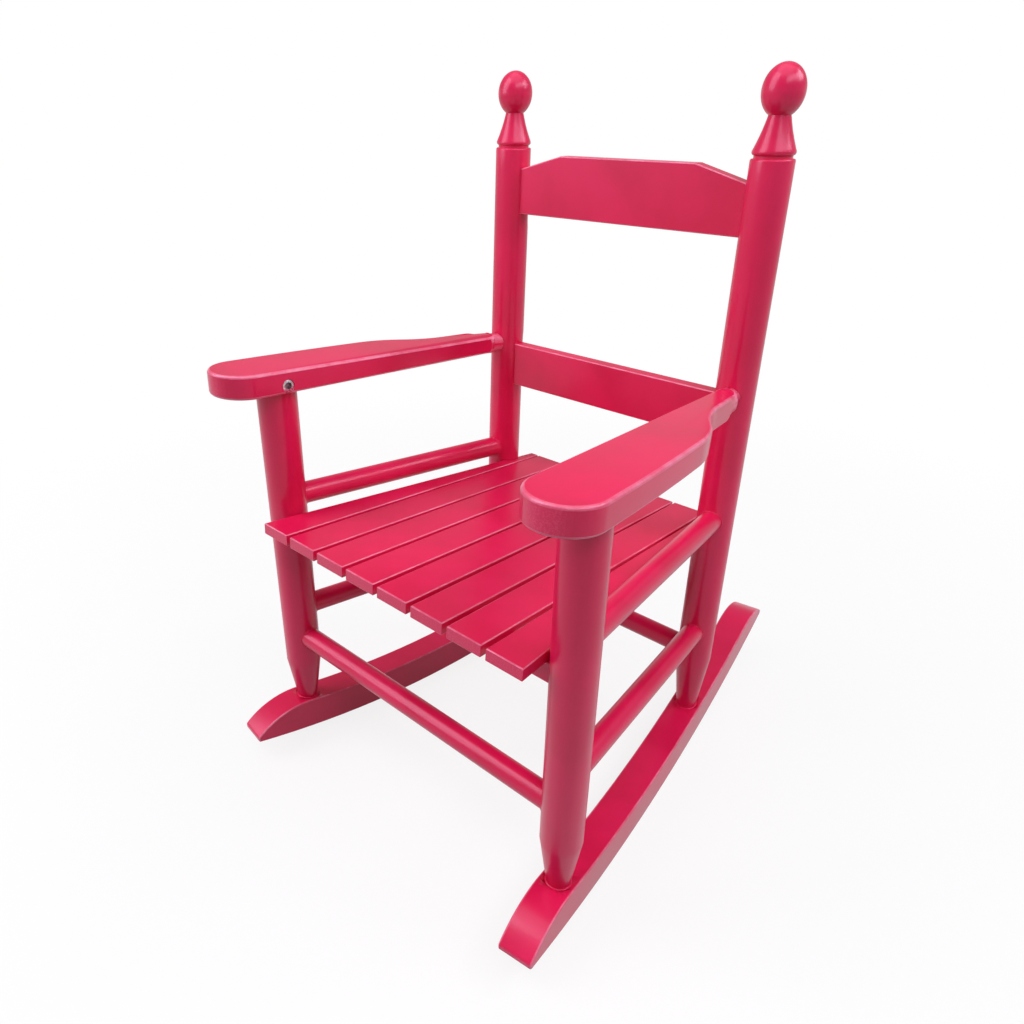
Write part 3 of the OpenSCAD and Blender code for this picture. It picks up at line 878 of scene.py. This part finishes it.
@dataclass
class PaintBeads:
    """Fine rolls of paint that close the joints where round ends go into legs, posts and rockers."""

    dowel_radius: float = 9.35 * MM
    foot_radius: float = 9.5 * MM
    roll: float = 0.55 * MM
    steps: int = 36
    roll_steps: int = 8
    sink: float = 0.45
    feel: float = 0.35 * MM
    back_off: float = 45 * MM
    foot_z: float = 20 * MM
    front_z: float = 117.3 * MM
    rear_z: float = 101.1 * MM

    def joints(self) -> list[Joint]:
        """Lists the joints.

        Returns:
            The joints, each with the way its round end goes in.
        """
        found = []
        for side in Side:
            frame_side = SideFrame(side)
            inward = Vector((side.value, 0.0, 0.0))
            leg, post = f"front_leg_{side.word}_painted", f"rear_post_{side.word}_painted"
            for name, (front, rear) in (("upper", frame_side.upper_z), ("lower", frame_side.lower_z)):
                ends = CHAIR.leg(side, front), CHAIR.post(side, rear)
                way = (ends[1] - ends[0]).normalized()
                found.append(Joint(f"bead_{name}_front_{side.word}", ends[0], -way, self.dowel_radius, leg))
                found.append(Joint(f"bead_{name}_rear_{side.word}", ends[1], way, self.dowel_radius, post))
            found.append(Joint(f"bead_front_stretcher_{side.word}", CHAIR.leg(side, self.front_z), inward,
                               self.dowel_radius, leg))
            found.append(Joint(f"bead_rear_stretcher_{side.word}", CHAIR.post(side, self.rear_z), inward,
                               self.dowel_radius, post))
            for name, axis in (("leg", CHAIR.leg), ("post", CHAIR.post)):
                down = (axis(side, 0.0) - axis(side, 1.0)).normalized()
                found.append(Joint(f"bead_{name}_foot_{side.word}", axis(side, self.foot_z), down,
                                   self.foot_radius, f"rocker_{side.word}_painted"))
        return found

    def lay(self, joint: Joint) -> None:
        """Lays one roll of paint round its joint, bent to the surface that the round end goes into.

        Args:
            joint: The joint.
        """
        surface = bpy.data.objects[joint.into]
        tree = BVHTree.FromObject(surface, bpy.context.evaluated_depsgraph_get())
        turn = joint.along.to_track_quat("Z", "Y")
        start = joint.place - joint.along * self.back_off
        clear_selection()
        bpy.ops.mesh.primitive_torus_add(major_segments=self.steps, minor_segments=self.roll_steps,
                                         major_radius=joint.radius + self.roll * self.sink,
                                         minor_radius=self.roll, location=start, rotation=turn.to_euler())
        bead = bpy.context.active_object
        bead.name = bead.data.name = joint.name
        bpy.ops.object.transform_apply(location=True, rotation=True, scale=True)
        bpy.ops.object.mode_set(mode="EDIT")
        bpy.ops.mesh.select_mode(type="VERT")
        for step in range(self.steps):
            angle = 2.0 * math.pi * step / self.steps
            spoke = turn @ Vector((math.cos(angle), math.sin(angle), 0.0))
            hit = tree.ray_cast(start + spoke * (joint.radius + self.feel), joint.along)
            if hit[0] is None:
                continue
            bpy.ops.mesh.select_all(action="DESELECT")
            work = bmesh.from_edit_mesh(bead.data)
            for vertex in work.verts:
                arm = vertex.co - start
                arm -= joint.along * arm.dot(joint.along)
                if arm.length > 0.0 and arm.normalized().dot(spoke) > math.cos(math.pi / self.steps):
                    vertex.select_set(True)
            bmesh.update_edit_mesh(bead.data)
            bpy.ops.transform.translate(value=joint.along * hit[3])
        bpy.ops.mesh.select_all(action="SELECT")
        bpy.ops.mesh.normals_make_consistent(inside=False)
        bpy.ops.mesh.faces_shade_smooth()
        bpy.ops.object.mode_set(mode="OBJECT")
        mark_wear_and_highlight(bead, Form.TURNED, joint.along, joint.along)
        dress(bead, PAINT.make(joint.name, joint.along, joint.place), Slot.PAINT)

    def build(self) -> None:
        """Lays all the rolls."""
        for joint in self.joints():
            self.lay(joint)


@dataclass
class Hardware:
    """Barrel nuts, hanger bolts and slat screws in zinc plate."""

    socket: float = 2.95 * MM
    smooth_angle: float = 33.0

    def build(self) -> None:
        """Builds all of it."""
        for side in Side:
            self.plate(f"barrel_nut_{side.word}", SideFrame(side).across(), self.socket)
            self.plate(f"hanger_bolt_{side.word}", UP, 0.0)
        for node in ("front_slat_screws", "rear_slat_screws"):
            self.plate(node, UP, 0.0)

    def plate(self, node: str, axis: Vector, well: float) -> None:
        """Plates one piece of hardware.

        Args:
            node: Its CAD node.
            axis: Axis of its turning.
            well: Radius of its socket, which is painted dark inside as shade, or 0.
        """
        piece = merged_copy(node, node + "_plated")
        smooth(piece, self.smooth_angle)
        dress(piece, ZINC.make(node, axis, centre_of(node), well), Slot.STEEL, node)


# The studio: lamps, floor, surround and camera.


@dataclass(frozen=True)
class Lamp:
    """A soft box round the chair.

    Azimuth 0 is in front and 90 is to the right, in degrees. A glow of 1 is as bright as a white surface.
    """

    name: str
    azimuth: float
    elevation: float
    size: Span
    glow: float
    tint: tuple[float, float, float] = (1.0, 0.96, 1.06)
    distance: float = 1.7
    aim: tuple[float, float, float] = (0.0, 0.0, 0.28)

    def build(self) -> None:
        """Hangs the soft box and turns it to its aim."""
        turn, rise = math.radians(self.azimuth), math.radians(self.elevation)
        away = Vector((math.sin(turn) * math.cos(rise), -math.cos(turn) * math.cos(rise), math.sin(rise)))
        data = bpy.data.lights.new(self.name, "AREA")
        data.shape = "RECTANGLE"
        data.size, data.size_y = self.size
        data.energy = math.pi * self.size[0] * self.size[1] * self.glow
        data.color = self.tint
        lamp = bpy.data.objects.new(self.name, data)
        bpy.context.scene.collection.objects.link(lamp)
        lamp.location = Vector(self.aim) + away * self.distance
        lamp.rotation_euler = (-away).to_track_quat("-Z", "Y").to_euler()


@dataclass
class Studio:
    """Floor, lights, world and the camera of the photograph."""

    floor_size: float = 14.0
    floor_cuts: int = 7
    sensor_mm: float = 36.0
    azimuth: float = 43.088
    elevation: float = 29.653
    camera: tuple[float, float, float] = (0.36116, -0.49879, 0.54437)
    focal_px: float = 768.83
    centre_px: Span = (470.28, 542.82)
    frame_px: int = 1024
    fill: float = 0.22
    rim: float = 0.75
    dim: float = 0.30
    horizon: Span = (0.02, 0.26)
    lamps: tuple[Lamp, ...] = (
        Lamp("overhead_sheet", azimuth=10.0, elevation=84.0, size=(1.7, 1.7), glow=1.20),
        Lamp("front_left_box", azimuth=318.0, elevation=36.0, size=(0.95, 1.75), glow=3.4),
        Lamp("rear_right_box", azimuth=128.0, elevation=42.0, size=(0.75, 0.62), glow=5.2),
        Lamp("right_box", azimuth=76.0, elevation=47.0, size=(1.8, 0.52), glow=3.3),
    )

    def floor(self) -> None:
        """Lays the paper floor under the rockers."""
        clear_selection()
        bpy.ops.mesh.primitive_plane_add(size=self.floor_size, location=(0.0, 0.0, 0.0))
        paper = bpy.context.active_object
        paper.name = "studio_floor"
        bpy.ops.object.mode_set(mode="EDIT")
        bpy.ops.mesh.select_all(action="SELECT")
        bpy.ops.mesh.subdivide(number_cuts=self.floor_cuts)
        bpy.ops.object.mode_set(mode="OBJECT")
        paper.data.materials.append(PAPER.make())

    def sky(self) -> None:
        """Sets the surround: white where it is seen, dimmer in gloss and most so overhead, a fill as light."""
        g = Graph("surround", bpy.data.worlds.new("surround"))
        bpy.context.scene.world = g.owner
        rays = g.add("LightPath").outputs
        high = g.add("SeparateXYZ", {0: g.add("TexCoord").outputs["Generated"]}).outputs["Z"]
        gloss = g.remap(high, *self.horizon, self.rim, self.dim)
        plain = g.higher(rays["Is Camera Ray"], rays["Is Transmission Ray"])
        level = g.add("Mix", {0: rays["Is Glossy Ray"], 2: self.fill, 3: gloss}, data_type="FLOAT").outputs[0]
        level = g.add("Mix", {0: plain, 2: level, 3: 1.0}, data_type="FLOAT").outputs[0]
        g.end(g.add("Background", {"Color": WHITE, "Strength": level}))

    def viewpoint(self) -> None:
        """Sets the camera where the photograph was taken."""
        data = bpy.data.cameras.new("photograph")
        data.sensor_width = self.sensor_mm
        data.lens = self.focal_px * self.sensor_mm / self.frame_px
        data.shift_x = (self.frame_px / 2 - self.centre_px[0]) / self.frame_px
        data.shift_y = (self.centre_px[1] - self.frame_px / 2) / self.frame_px
        camera = bpy.data.objects.new("photograph", data)
        bpy.context.scene.collection.objects.link(camera)
        camera.location = self.camera
        camera.rotation_euler = (math.radians(90.0 - self.elevation), 0.0, math.radians(self.azimuth))
        bpy.context.scene.camera = camera
        bpy.context.scene.view_settings.view_transform = "Standard"

    def build(self) -> None:
        """Builds the studio."""
        self.floor()
        self.sky()
        for lamp in self.lamps:
            lamp.build()
        self.viewpoint()


def main() -> None:
    """Builds the chair's sub-assemblies and the studio in order."""
    logging.basicConfig(level=logging.INFO, format="%(name)s %(message)s")
    parts = [SideFrame(Side.LEFT), SideFrame(Side.RIGHT), CrossStretchers(), Seat(), BackRest(), PaintBeads(),
             Hardware(), Studio()]
    for part in parts:
        part.build()
        LOG.info("%s done", type(part).__name__)


if __name__ == "__main__":
    main()
